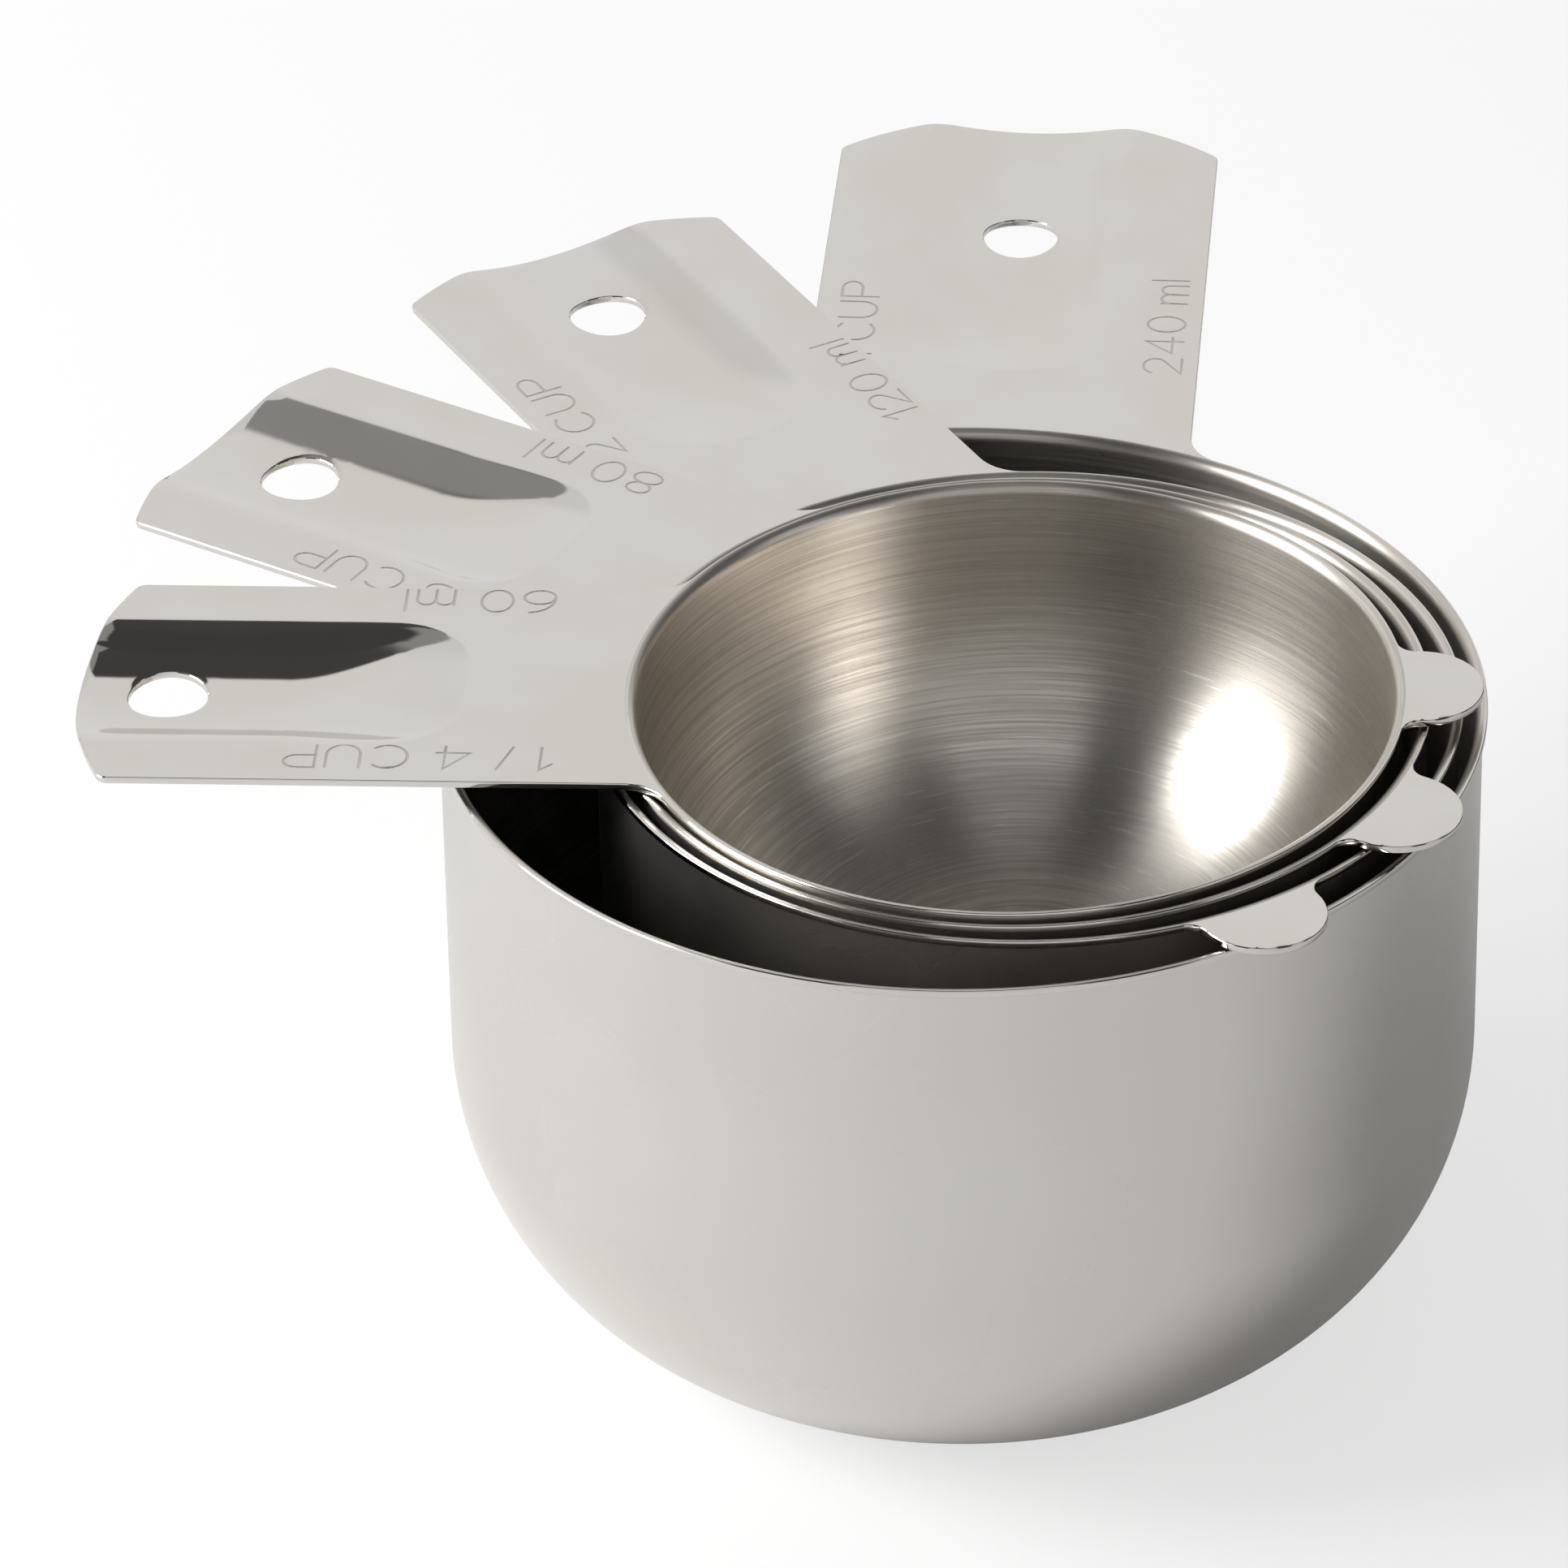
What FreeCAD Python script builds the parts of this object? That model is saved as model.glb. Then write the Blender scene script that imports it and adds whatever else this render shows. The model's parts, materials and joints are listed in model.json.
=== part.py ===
import FreeCAD, Part
import math
import os

# Nested set of four pressed steel measuring cups, in millimetres, +Z up.
# The origin is the centre of the largest cup's base, and its handle points along +Y.
# Each cup is one sheet: a drawn bowl, a channelled handle and, on the smaller three,
# a tab opposite the handle that rests on the rim of the next larger cup.
# The three regions of a sheet meet face to face along the outer edge of the bowl's lip.

Vector = FreeCAD.Vector
Rotation = FreeCAD.Rotation
Placement = FreeCAD.Placement

# Sheet and nesting
SHEET = 0.6                # thickness of the steel
NEST_STEP = 0.80           # height from one cup's rim plane to the next
LIP_RADIUS = 0.35          # underside bend where the wall turns out into the rim

# Handle
TIP_CORNER_RADIUS = 1.0
HANDLE_ROOT_FILLET = 4.0   # concave corner between the rim and the handle's side
HOLE_RADIUS = 3.1
CHANNEL_DEPTH = 1.6
CHANNEL_HALF_WIDTH = 8.0
CHANNEL_RAMP = 14.0        # length over which the channel sinks in at its inner end
CHANNEL_OPENING = 6.0      # length over which its rounded inner end opens to full width
CHANNEL_END_SHARE = 0.35   # share of the width at the very end
CHANNEL_RAMP_STEPS = 9     # sections that shape the ramp
CHANNEL_STEP_GROWTH = 1.5  # above 1, the first sections lie closer together
CHANNEL_HEADROOM = 1.0     # how far the pressing tool's form stands above the sheet

# Tab
TAB_ROOT_FILLET = 1.5

# One row per cup, largest first. "tip_bulge" is how far the curved tip stands beyond its
# corners. "offset" is the rim centre seen from the rim centre of the cup that holds it,
# and "turn" is the handle's direction from that cup's handle. "rock" is the small tilt
# about the handle's centre line, and "tab_turn" is how far the tab is off the line
# opposite the handle. Angles are in degrees.
CUPS = [
    dict(name="one_cup", volume_ml=240.0, rim=40.77, corner=24.4,
         handle_width=31.9, corner_reach=86.2, tip_bulge=6.2,
         hole_reach=74.2, channel_start=50.0,
         offset=(0.0, 0.0), turn=90.0, rock=0.0),
    dict(name="half_cup", volume_ml=120.0, rim=33.72, corner=22.0,
         handle_width=28.8, corner_reach=78.0, tip_bulge=3.8,
         hole_reach=70.5, channel_start=45.5,
         offset=(-1.15, -5.20), turn=33.0, rock=-0.5,
         tab_half_width=4.9, tab_length=5.9, tab_turn=1.1),
    dict(name="third_cup", volume_ml=80.0, rim=31.71, corner=21.0,
         handle_width=27.5, corner_reach=74.2, tip_bulge=3.0,
         hole_reach=67.8, channel_start=42.4,
         offset=(-0.41, 0.76), turn=29.3, rock=-0.6,
         tab_half_width=5.1, tab_length=6.3, tab_turn=1.0),
    dict(name="quarter_cup", volume_ml=60.0, rim=30.23, corner=20.5,
         handle_width=27.1, corner_reach=69.5, tip_bulge=3.3,
         hole_reach=65.8, channel_start=42.4,
         offset=(0.06, 0.75), turn=28.7, rock=-0.5,
         tab_half_width=4.9, tab_length=5.9, tab_turn=2.4),
]

UP = Vector(0, 0, 1)


def inner_depth(cup):
    """Depth inside the bowl at which it holds its nominal volume when full to the rim."""
    radius = cup["rim"] - LIP_RADIUS - SHEET
    corner = cup["corner"] - SHEET
    flat = radius - corner
    corner_volume = math.pi * (
        flat ** 2 * corner
        + math.pi / 2 * flat * corner ** 2
        + 2 / 3 * corner ** 3
    )
    straight = (cup["volume_ml"] * 1000 - corner_volume) / (math.pi * radius ** 2)
    return straight + corner


def outer_depth(cup):
    return inner_depth(cup) + SHEET


def arc(start, middle, end):
    return Part.Arc(Vector(*start), Vector(*middle), Vector(*end)).toShape()


def line(start, end):
    return Part.LineSegment(Vector(*start), Vector(*end)).toShape()


def bowl(cup):
    """The drawn bowl, as a turned sheet whose lip bends out to the rim plane at z = 0."""
    depth = outer_depth(cup)
    edge = cup["rim"]
    outer = edge - LIP_RADIUS
    inner = outer - SHEET
    bend = LIP_RADIUS + SHEET
    corner = cup["corner"]
    centre_x = outer - corner
    centre_z = corner - depth
    slant = math.sqrt(0.5)

    def on_corner(radius):
        return (centre_x + radius * slant, 0, centre_z - radius * slant)

    def on_lip(radius):
        return (edge - radius * slant, 0, -bend + radius * slant)

    profile = Part.Wire([
        line((0, 0, -depth), (centre_x, 0, -depth)),
        arc((centre_x, 0, -depth), on_corner(corner), (outer, 0, centre_z)),
        line((outer, 0, centre_z), (outer, 0, -bend)),
        arc((outer, 0, -bend), on_lip(LIP_RADIUS), (edge, 0, -SHEET)),
        line((edge, 0, -SHEET), (edge, 0, 0)),
        arc((edge, 0, 0), on_lip(bend), (inner, 0, -bend)),
        line((inner, 0, -bend), (inner, 0, centre_z)),
        arc((inner, 0, centre_z), on_corner(corner - SHEET), (centre_x, 0, SHEET - depth)),
        line((centre_x, 0, SHEET - depth), (0, 0, SHEET - depth)),
        line((0, 0, SHEET - depth), (0, 0, -depth)),
    ])
    return Part.Face(profile).revolve(Vector(0, 0, 0), UP, 360)


def tongue(rim, half_width, fillet, side_end, tip):
    """A flat piece of sheet that leaves the rim along +X and ends in a curved tip.

    Its sides are parallel, and flow into the rim through concave fillets.
    """
    fillet_y = half_width + fillet
    fillet_x = math.sqrt((rim + fillet) ** 2 - fillet_y ** 2)
    on_rim = (fillet_x * rim / (rim + fillet), fillet_y * rim / (rim + fillet))
    towards_rim = math.atan2(-fillet_y, -fillet_x)
    halfway = (towards_rim - math.pi / 2) / 2
    on_fillet = (fillet_x + fillet * math.cos(halfway), fillet_y + fillet * math.sin(halfway))

    def side(sign):
        return [
            arc((on_rim[0], sign * on_rim[1], 0),
                (on_fillet[0], sign * on_fillet[1], 0),
                (fillet_x, sign * half_width, 0)),
            line((fillet_x, sign * half_width, 0), (side_end, sign * half_width, 0)),
        ]

    edges = side(1) + side(-1)
    edges.append(arc((side_end, half_width, 0), (tip, 0, 0), (side_end, -half_width, 0)))
    edges.append(arc((on_rim[0], on_rim[1], 0), (rim, 0, 0), (on_rim[0], -on_rim[1], 0)))
    face = Part.Face(Part.Wire(Part.__sortEdges__(edges)))
    return face.extrude(Vector(0, 0, -SHEET))


def tab(cup):
    rim = cup["rim"]
    half_width = cup["tab_half_width"]
    tip = rim + cup["tab_length"]
    plain = tongue(rim, half_width, TAB_ROOT_FILLET, tip - half_width, tip)
    return plain.rotated(Vector(0, 0, 0), UP, 180 + cup["tab_turn"])


def channel_depth(along):
    """Depth at a distance from the channel's inner end."""
    share = min(along / CHANNEL_RAMP, 1.0)
    return CHANNEL_DEPTH * math.sin(share * math.pi / 2)


def channel_half_width(along):
    """Half width at a distance from the channel's inner end, which is rounded in plan."""
    share = min(along / CHANNEL_OPENING, 1.0)
    opening = math.sqrt(1 - (1 - share) ** 2)
    return CHANNEL_HALF_WIDTH * (CHANNEL_END_SHARE + (1 - CHANNEL_END_SHARE) * opening)


def channel_section(x, side, depth):
    """The channel's cross-section at x: a shallow arc with room above it."""
    low = (x, side, 0)
    far = (x, -side, 0)
    bottom = arc(low, (x, 0, -depth), far) if depth else line(low, far)
    return Part.Wire([
        bottom,
        line(far, (x, -side, CHANNEL_HEADROOM)),
        line((x, -side, CHANNEL_HEADROOM), (x, side, CHANNEL_HEADROOM)),
        line((x, side, CHANNEL_HEADROOM), low),
    ])


def channel_form(cup):
    """The tool that presses the channel: it sinks in over the ramp, then runs off the tip."""
    sections = []
    for step in range(CHANNEL_RAMP_STEPS + 1):
        along = CHANNEL_RAMP * (step / CHANNEL_RAMP_STEPS) ** CHANNEL_STEP_GROWTH
        sections.append(channel_section(
            cup["channel_start"] + along, channel_half_width(along), channel_depth(along)))
    ramp = Part.makeLoft(sections, True, False)
    past_tip = cup["corner_reach"] + 3 * cup["tip_bulge"]
    run = past_tip - cup["channel_start"] - CHANNEL_RAMP
    straight = Part.Face(sections[-1]).extrude(Vector(run, 0, 0))
    return ramp.fuse(straight)


def handle(cup):
    reach = cup["corner_reach"]
    tip = reach + cup["tip_bulge"]
    plate = tongue(cup["rim"], cup["handle_width"] / 2, HANDLE_ROOT_FILLET, reach, tip)
    corners = [edge for edge in plate.Edges
               if abs(edge.BoundBox.XMin - reach) < 0.01 and edge.BoundBox.XLength < 0.01
               and edge.BoundBox.ZLength > SHEET / 2]
    plate = plate.makeFillet(TIP_CORNER_RADIUS, corners)

    form = channel_form(cup)
    top_face = [face for face in plate.Faces if face.BoundBox.ZMin > -SHEET / 2][0]
    room_below = top_face.extrude(Vector(0, 0, -2 * CHANNEL_DEPTH))
    trough = room_below.common(form.translated(Vector(0, 0, -SHEET)))
    hole = Part.makeCylinder(
        HOLE_RADIUS, 4 * CHANNEL_DEPTH, Vector(cup["hole_reach"], 0, -3 * CHANNEL_DEPTH))
    return plate.fuse(trough).cut(form).cut(hole).removeSplitter()


def cup_placements():
    """Where each cup's rim centre stands, with its local +X along the handle."""
    placements = []
    here = Placement()
    for level, cup in enumerate(CUPS):
        rise = NEST_STEP if level else outer_depth(cup)
        shift = Placement(Vector(cup["offset"][0], cup["offset"][1], rise), Rotation())
        turn = Placement(Vector(0, 0, 0), Rotation(UP, cup["turn"]))
        rock = Placement(Vector(0, 0, 0), Rotation(Vector(1, 0, 0), cup["rock"]))
        here = here.multiply(shift).multiply(turn).multiply(rock)
        placements.append(here)
    return placements


def check_solid(name, shape):
    """Refuse a piece that isn't one closed, valid solid."""
    if len(shape.Solids) != 1 or not shape.isValid() or not shape.isClosed():
        raise ValueError(name + " is not one closed solid")
    return shape.Solids[0]


def main():
    os.makedirs("parts", exist_ok=True)
    for cup, place in zip(CUPS, cup_placements()):
        pieces = {"bowl": bowl(cup), "handle": handle(cup)}
        if "tab_length" in cup:
            pieces["tab"] = tab(cup)
        for region, shape in pieces.items():
            name = cup["name"] + "_" + region
            solid = check_solid(name, shape).copy()
            solid.Placement = place.multiply(solid.Placement)
            solid.exportStep("parts/" + name + ".step")
            print(name, "volume", round(solid.Volume, 1), "mm3")
        hole = place.multVec(Vector(cup["hole_reach"], 0, -CHANNEL_DEPTH - SHEET / 2))
        axis = place.Rotation.multVec(UP)
        print(cup["name"], "depth", round(outer_depth(cup), 2),
              "rim centre", [round(value, 3) for value in place.Base],
              "hole centre", [round(value, 3) for value in hole],
              "axis", [round(value, 5) for value in axis])


main()
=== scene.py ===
import json
import math

import bmesh
import bpy
import numpy as np
from mathutils import Matrix, Vector
from mathutils.geometry import delaunay_2d_cdt


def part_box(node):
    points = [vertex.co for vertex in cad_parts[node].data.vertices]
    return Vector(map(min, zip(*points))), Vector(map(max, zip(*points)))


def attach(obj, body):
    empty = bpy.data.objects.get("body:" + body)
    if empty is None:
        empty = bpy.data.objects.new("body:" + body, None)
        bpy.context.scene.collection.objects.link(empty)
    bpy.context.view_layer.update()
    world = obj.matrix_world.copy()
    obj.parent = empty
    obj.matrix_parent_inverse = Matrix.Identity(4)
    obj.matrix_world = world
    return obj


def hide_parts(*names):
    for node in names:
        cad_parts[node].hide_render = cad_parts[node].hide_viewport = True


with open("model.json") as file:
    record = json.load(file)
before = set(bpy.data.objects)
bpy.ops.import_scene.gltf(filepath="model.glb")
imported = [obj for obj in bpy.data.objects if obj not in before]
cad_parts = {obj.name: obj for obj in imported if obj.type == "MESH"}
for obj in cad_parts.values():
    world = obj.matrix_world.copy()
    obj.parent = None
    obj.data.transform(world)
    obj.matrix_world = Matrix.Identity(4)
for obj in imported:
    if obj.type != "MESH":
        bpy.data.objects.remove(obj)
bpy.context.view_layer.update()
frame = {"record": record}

# A nested set of four pressed steel measuring cups. Each cup is one sheet: a drawn bowl
# whose lip turns out into a flat handle with a pressed channel, and, on the smaller three,
# a tab opposite the handle. Here each cup is one continuous mesh that stands for its CAD
# nodes. A cup is built in millimetres about its rim centre, with local +X along its handle
# and z = 0 at the top of the rim, and placed by its CAD bowl and hanging hole.
MM = 0.001

SHEET = 0.6                 # thickness of the steel
EDGE = 0.15                 # rounding of the sheet's cut edges
EDGE_STEPS = 3
LIP_RADIUS = 0.35           # underside bend where the wall turns out into the rim
LIP_STEPS = 9

TIP_CORNER_RADIUS = 1.0
HANDLE_ROOT_FILLET = 4.0
TAB_ROOT_FILLET = 1.5
HOLE_RADIUS = 3.1
HOLE_POINTS = 56
HOLE_MARGIN = 0.45          # clear band of sheet around the hole's mesh ring

CHANNEL_DEPTH = 1.6
CHANNEL_HALF_WIDTH = 8.0
CHANNEL_RAMP = 14.0         # length over which the channel sinks in
CHANNEL_OPENING = 6.0       # length over which its rounded inner end opens to full width
CHANNEL_END_SHARE = 0.35    # share of the width at the very end
CHANNEL_POWER = 2.0         # of the even curve across the channel
CREASE = 1.4                # half the width over which its side bends into the flat sheet,
END_CREASE = 0.5            # and the same at its inner end
CHANNEL_COLUMNS = 13        # mesh columns over half the channel
CREASE_COLUMNS = 8

MARK_HEIGHT = 3.1           # capitals of the stamped volume marks
MARK_HALF_WIDTH = 0.13
MARK_DEPTH = 0.03
MARK_GAP = 0.27             # between letters, in letter heights

# How finely the meshes are stepped, and, in millimetres, how the points are kept apart.
FLOOR_RINGS = 5
CORNER_RINGS = 34
WALL_RINGS = 10
HANDLE_ROOT_STEPS = 48      # round the rim, where the handle leaves it
TAB_ROOT_STEPS = 16
OPEN_RIM_STEPS = 76         # round the rim, on each side between the handle and the tab
FILLET_STEPS = 10
TIP_CORNER_STEPS = 8
TIP_FLAT_STEPS = 6          # across the tip, between the channel and a corner
SIDE_STEP = 1.5             # along a tongue's straight sides
END_STATIONS = 16           # along the channel's rounded inner end
RAMP_STATIONS = 16
RUN_STATIONS = 16
BEFORE_CHANNEL = (0.8, 0.4)
NET_STEP = 2.6              # between the coarse points on the flat sheet
NET_START = 24.0
NET_END_GAP = 1.6           # from the coarse points to the channel's inner end
NET_SIDE_GAP = 0.5          # from the coarse points to the channel's bend
HOLE_RING_GAP = 0.3
OUTLINE_GAP = 0.4
TAB_TIP_STEPS = 18
TAB_TIP_ANGLE = 1.45        # radians each way, a little short of the tab's straight sides
TAB_TIP_SHARE = 0.999
TAB_NET_GAP = 1.2
TAB_TIP_GAP = 0.9

# Sizes that the CAD boxes don't give: the same driving dimensions as the CAD part, and
# end_power, which shapes the channel's inner end here only. On the two larger cups it stays
# an even curve, because a flatter bottom would cut into the handle below.
# A mark is its text, where it starts along the handle, and its baseline across it.
CUPS = [
    dict(name="one_cup", corner=24.4, handle_width=31.9, corner_reach=86.2, tip_bulge=6.2,
         hole_reach=74.2, channel_start=50.0, end_power=2.0,
         marks=[("1 CUP", 50.9, 10.9), ("240 ml", 50.0, -14.6)]),
    dict(name="half_cup", corner=22.0, handle_width=28.8, corner_reach=78.0, tip_bulge=3.8,
         hole_reach=70.5, channel_start=45.5, end_power=2.0,
         tab_half_width=4.9, tab_length=5.9, tab_turn=1.1,
         marks=[("1 / 2 CUP", 41.9, 9.7), ("120 ml", 41.6, -13.8)]),
    dict(name="third_cup", corner=21.0, handle_width=27.5, corner_reach=74.2, tip_bulge=3.0,
         hole_reach=67.8, channel_start=42.4, end_power=8.0,
         tab_half_width=5.1, tab_length=6.3, tab_turn=1.0,
         marks=[("1 / 3 CUP", 39.7, 9.2), ("80 ml", 40.9, -12.9)]),
    dict(name="quarter_cup", corner=20.5, handle_width=27.1, corner_reach=69.5, tip_bulge=3.3,
         hole_reach=65.8, channel_start=42.4, end_power=8.0,
         tab_half_width=4.9, tab_length=5.9, tab_turn=2.4,
         marks=[("1 / 4 CUP", 34.9, 8.7), ("60 ml", 36.5, -13.2)]),
]


# ---------------------------------------------------------------- volume marks

def stroke_arc(x, y, rx, ry, start, end):
    """Points along part of an ellipse, with angles in degrees."""
    steps = max(4, int(abs(end - start) / 15))
    turn = [math.radians(start + (end - start) * k / steps) for k in range(steps + 1)]
    return [(x + rx * math.cos(a), y + ry * math.sin(a)) for a in turn]


# Plain single-line characters on a cell one unit high: (width, strokes).
CHARACTERS = {
    " ": (0.16, []),
    "0": (0.80, [stroke_arc(0.40, 0.50, 0.40, 0.50, 0, 360)]),
    "1": (0.30, [[(0.0, 0.74), (0.30, 1.0), (0.30, 0.0)]]),
    "2": (0.78, [stroke_arc(0.39, 0.69, 0.37, 0.31, 165, -38) + [(0.0, 0.0), (0.78, 0.0)]]),
    "3": (0.76, [stroke_arc(0.36, 0.76, 0.33, 0.24, 150, -90)
                 + stroke_arc(0.36, 0.26, 0.40, 0.26, 90, -150)[1:]]),
    "4": (0.84, [[(0.62, 0.0), (0.62, 1.0), (0.0, 0.30), (0.84, 0.30)]]),
    "6": (0.80, [stroke_arc(0.40, 0.31, 0.40, 0.31, 0, 360),
                 stroke_arc(0.66, 0.38, 0.66, 0.62, 182, 92)]),
    "8": (0.80, [stroke_arc(0.40, 0.76, 0.33, 0.24, 0, 360),
                 stroke_arc(0.40, 0.26, 0.40, 0.26, 0, 360)]),
    "/": (0.36, [[(0.0, 0.0), (0.36, 1.0)]]),
    "C": (0.90, [stroke_arc(0.50, 0.50, 0.50, 0.50, 48, 312)]),
    "U": (0.84, [[(0.0, 1.0)] + stroke_arc(0.42, 0.42, 0.42, 0.42, 180, 360) + [(0.84, 1.0)]]),
    "P": (0.78, [[(0.0, 0.0), (0.0, 1.0)] + stroke_arc(0.44, 0.73, 0.34, 0.27, 90, -90)
                 + [(0.0, 0.46)]]),
    "m": (0.94, [[(0.0, 0.0), (0.0, 0.70)],
                 stroke_arc(0.235, 0.46, 0.235, 0.24, 180, 0) + [(0.47, 0.0)],
                 stroke_arc(0.705, 0.46, 0.235, 0.24, 180, 0) + [(0.94, 0.0)]]),
    "l": (0.02, [[(0.01, 0.0), (0.01, 1.0)]]),
}


def mark_strokes(text, start, base):
    """The centre lines of a mark's strokes, on the handle, in millimetres."""
    strokes = []
    pen = start
    for character in text:
        width, lines = CHARACTERS[character]
        for line in lines:
            strokes.append([(pen + x * MARK_HEIGHT, base + y * MARK_HEIGHT) for x, y in line])
        pen += (width + MARK_GAP) * MARK_HEIGHT
    return strokes


def stroke_sides(line):
    """The two edges of a stroke's groove, with mitred corners."""
    points = np.array(line)
    closed = np.allclose(points[0], points[-1])
    along = np.diff(points, axis=0)
    along /= np.linalg.norm(along, axis=1)[:, None]
    before = np.vstack([along[-1:] if closed else along[:1], along])
    after = np.vstack([along, along[:1] if closed else along[-1:]])
    across = np.stack([-(before + after)[:, 1], (before + after)[:, 0]], 1)
    across /= np.linalg.norm(across, axis=1)[:, None]
    share = np.abs(across[:, 0] * -after[:, 1] + across[:, 1] * after[:, 0])
    across *= (MARK_HALF_WIDTH / np.maximum(share, 0.5))[:, None]
    return points + across, points - across, closed


def lines_near(x, y, strokes):
    """The strokes that could reach a point."""
    return [line for line in strokes
            if min(math.hypot(x - px, y - py) for px, py in line) < MARK_HEIGHT + 1]


def groove_depth(x, y, strokes):
    """How deep the sheet is stamped at a point: a V about each stroke's centre line."""
    point = np.array([x, y])
    nearest = MARK_HALF_WIDTH
    for line in strokes:
        points = np.array(line)
        start = points[:-1]
        run = points[1:] - start
        share = ((point - start) * run).sum(1) / (run ** 2).sum(1)
        foot = start + run * np.clip(share, 0, 1)[:, None]
        nearest = min(nearest, np.sqrt(((point - foot) ** 2).sum(1)).min())
    return MARK_DEPTH * (1 - nearest / MARK_HALF_WIDTH)


# ---------------------------------------------------------------- sheet shapes

def channel_share(cup, x, length):
    """How much of a length from the channel's inner end lies before x, from 0 to 1."""
    return min(max((x - cup["channel_start"]) / length, 0.0), 1.0)


def channel_depth(cup, x):
    """The channel's depth at x: it sinks in over the ramp, then runs on to the tip."""
    return CHANNEL_DEPTH * math.sin(math.pi / 2 * channel_share(cup, x, CHANNEL_RAMP))


def channel_half_width(cup, x):
    """The channel's half width at x: its inner end is rounded in plan."""
    share = channel_share(cup, x, CHANNEL_OPENING)
    opening = math.sqrt(1 - (1 - share) ** 2)
    return CHANNEL_HALF_WIDTH * (CHANNEL_END_SHARE + (1 - CHANNEL_END_SHARE) * opening)


def channel_power(cup, x):
    """A high power at its inner end gives the channel steep sides and a flat bottom."""
    share = channel_share(cup, x, CHANNEL_RAMP)
    return CHANNEL_POWER + (cup["end_power"] - CHANNEL_POWER) * (1 - share) ** 2


def crease_width(cup, x):
    """Half the width of the bend at the channel's side."""
    return END_CREASE + (CREASE - END_CREASE) * channel_share(cup, x, CHANNEL_RAMP)


def handle_height(cup, x, y):
    """Height of the handle's top face: the channel's curve, blended into the flat sheet."""
    depth = channel_depth(cup, x)
    side = channel_half_width(cup, x)
    crease = crease_width(cup, x)
    if depth < 1e-3 or abs(y) > side + crease:
        return 0.0
    power = channel_power(cup, x)
    curve = depth * ((abs(y) / side) ** power - 1)
    blend = power * depth / side * crease
    overlap = max(blend - abs(curve), 0.0)
    return min(curve, 0.0) - overlap ** 2 / (4 * blend)


def channel_columns(cup, x):
    """Where the mesh columns cross the channel at x, from one flat side to the other."""
    side = channel_half_width(cup, x)
    crease = crease_width(cup, x)
    half = spread(0.0, side - crease, CHANNEL_COLUMNS)
    half += spread(side - crease, side + crease, CREASE_COLUMNS)[1:]
    return [-y for y in reversed(half[1:])] + half


def tongue_outline(rim, half_width, fillet, side_end, tip, corner, tip_columns):
    """The edge of a handle or tab, as (x, y, normal x, normal y), anticlockwise.

    It leaves the rim below the X axis, goes round the tip, and comes back above it. The
    points where its fillets meet the rim are left out.
    """
    fillet_y = half_width + fillet
    fillet_x = math.sqrt((rim + fillet) ** 2 - fillet_y ** 2)
    tip_radius = (half_width ** 2 + (tip - side_end) ** 2) / (2 * (tip - side_end))
    tip_centre = tip - tip_radius
    reach = half_width - corner
    corner_x = tip_centre + math.sqrt((tip_radius - corner) ** 2 - reach ** 2)
    corner_end = math.atan2(-reach, corner_x - tip_centre)

    lower = []
    first = math.atan2(fillet_y, -fillet_x)
    for k in range(1, FILLET_STEPS + 1):
        a = first + (math.pi / 2 - first) * k / FILLET_STEPS
        lower.append((fillet_x + fillet * math.cos(a), -fillet_y + fillet * math.sin(a),
                      -math.cos(a), -math.sin(a)))
    steps = max(2, int((corner_x - fillet_x) / SIDE_STEP))
    for k in range(1, steps + 1):
        lower.append((fillet_x + (corner_x - fillet_x) * k / steps, -half_width, 0.0, -1.0))
    if corner:
        for k in range(1, TIP_CORNER_STEPS + 1):
            a = -math.pi / 2 + (corner_end + math.pi / 2) * k / TIP_CORNER_STEPS
            lower.append((corner_x + corner * math.cos(a), -reach + corner * math.sin(a),
                          math.cos(a), math.sin(a)))
    middle = []
    for y in tip_columns:
        a = math.asin(y / (tip_radius - EDGE))
        middle.append((tip_centre + tip_radius * math.cos(a), tip_radius * math.sin(a),
                       math.cos(a), math.sin(a)))
    upper = [(x, -y, nx, -ny) for x, y, nx, ny in reversed(lower)]
    return lower + middle + upper


def spread(start, end, steps):
    """Values from start to end, both included."""
    return [start + (end - start) * k / steps for k in range(steps + 1)]


def inside_polygon(x, y, polygon):
    """Which points (arrays) lie inside a closed polygon."""
    inside = np.zeros(len(x), bool)
    for (x0, y0), (x1, y1) in zip(polygon, polygon[1:] + polygon[:1]):
        if y0 != y1:
            crossing = (y0 > y) != (y1 > y)
            inside ^= crossing & (x < (x1 - x0) * (y - y0) / (y1 - y0) + x0)
    return inside


def polygon_distance(x, y, polygon):
    """Distance from a point to the nearest corner of a closely stepped polygon."""
    return min(math.hypot(x - px, y - py) for px, py in polygon)


# ---------------------------------------------------------------- the cup mesh

INSIDE, OUTSIDE, PLATE, MARK = range(4)    # finishes, in the order of a cup's material slots
ALONG_HANDLE = "along_handle"          # a UV map: metres along the handle and across it


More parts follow.
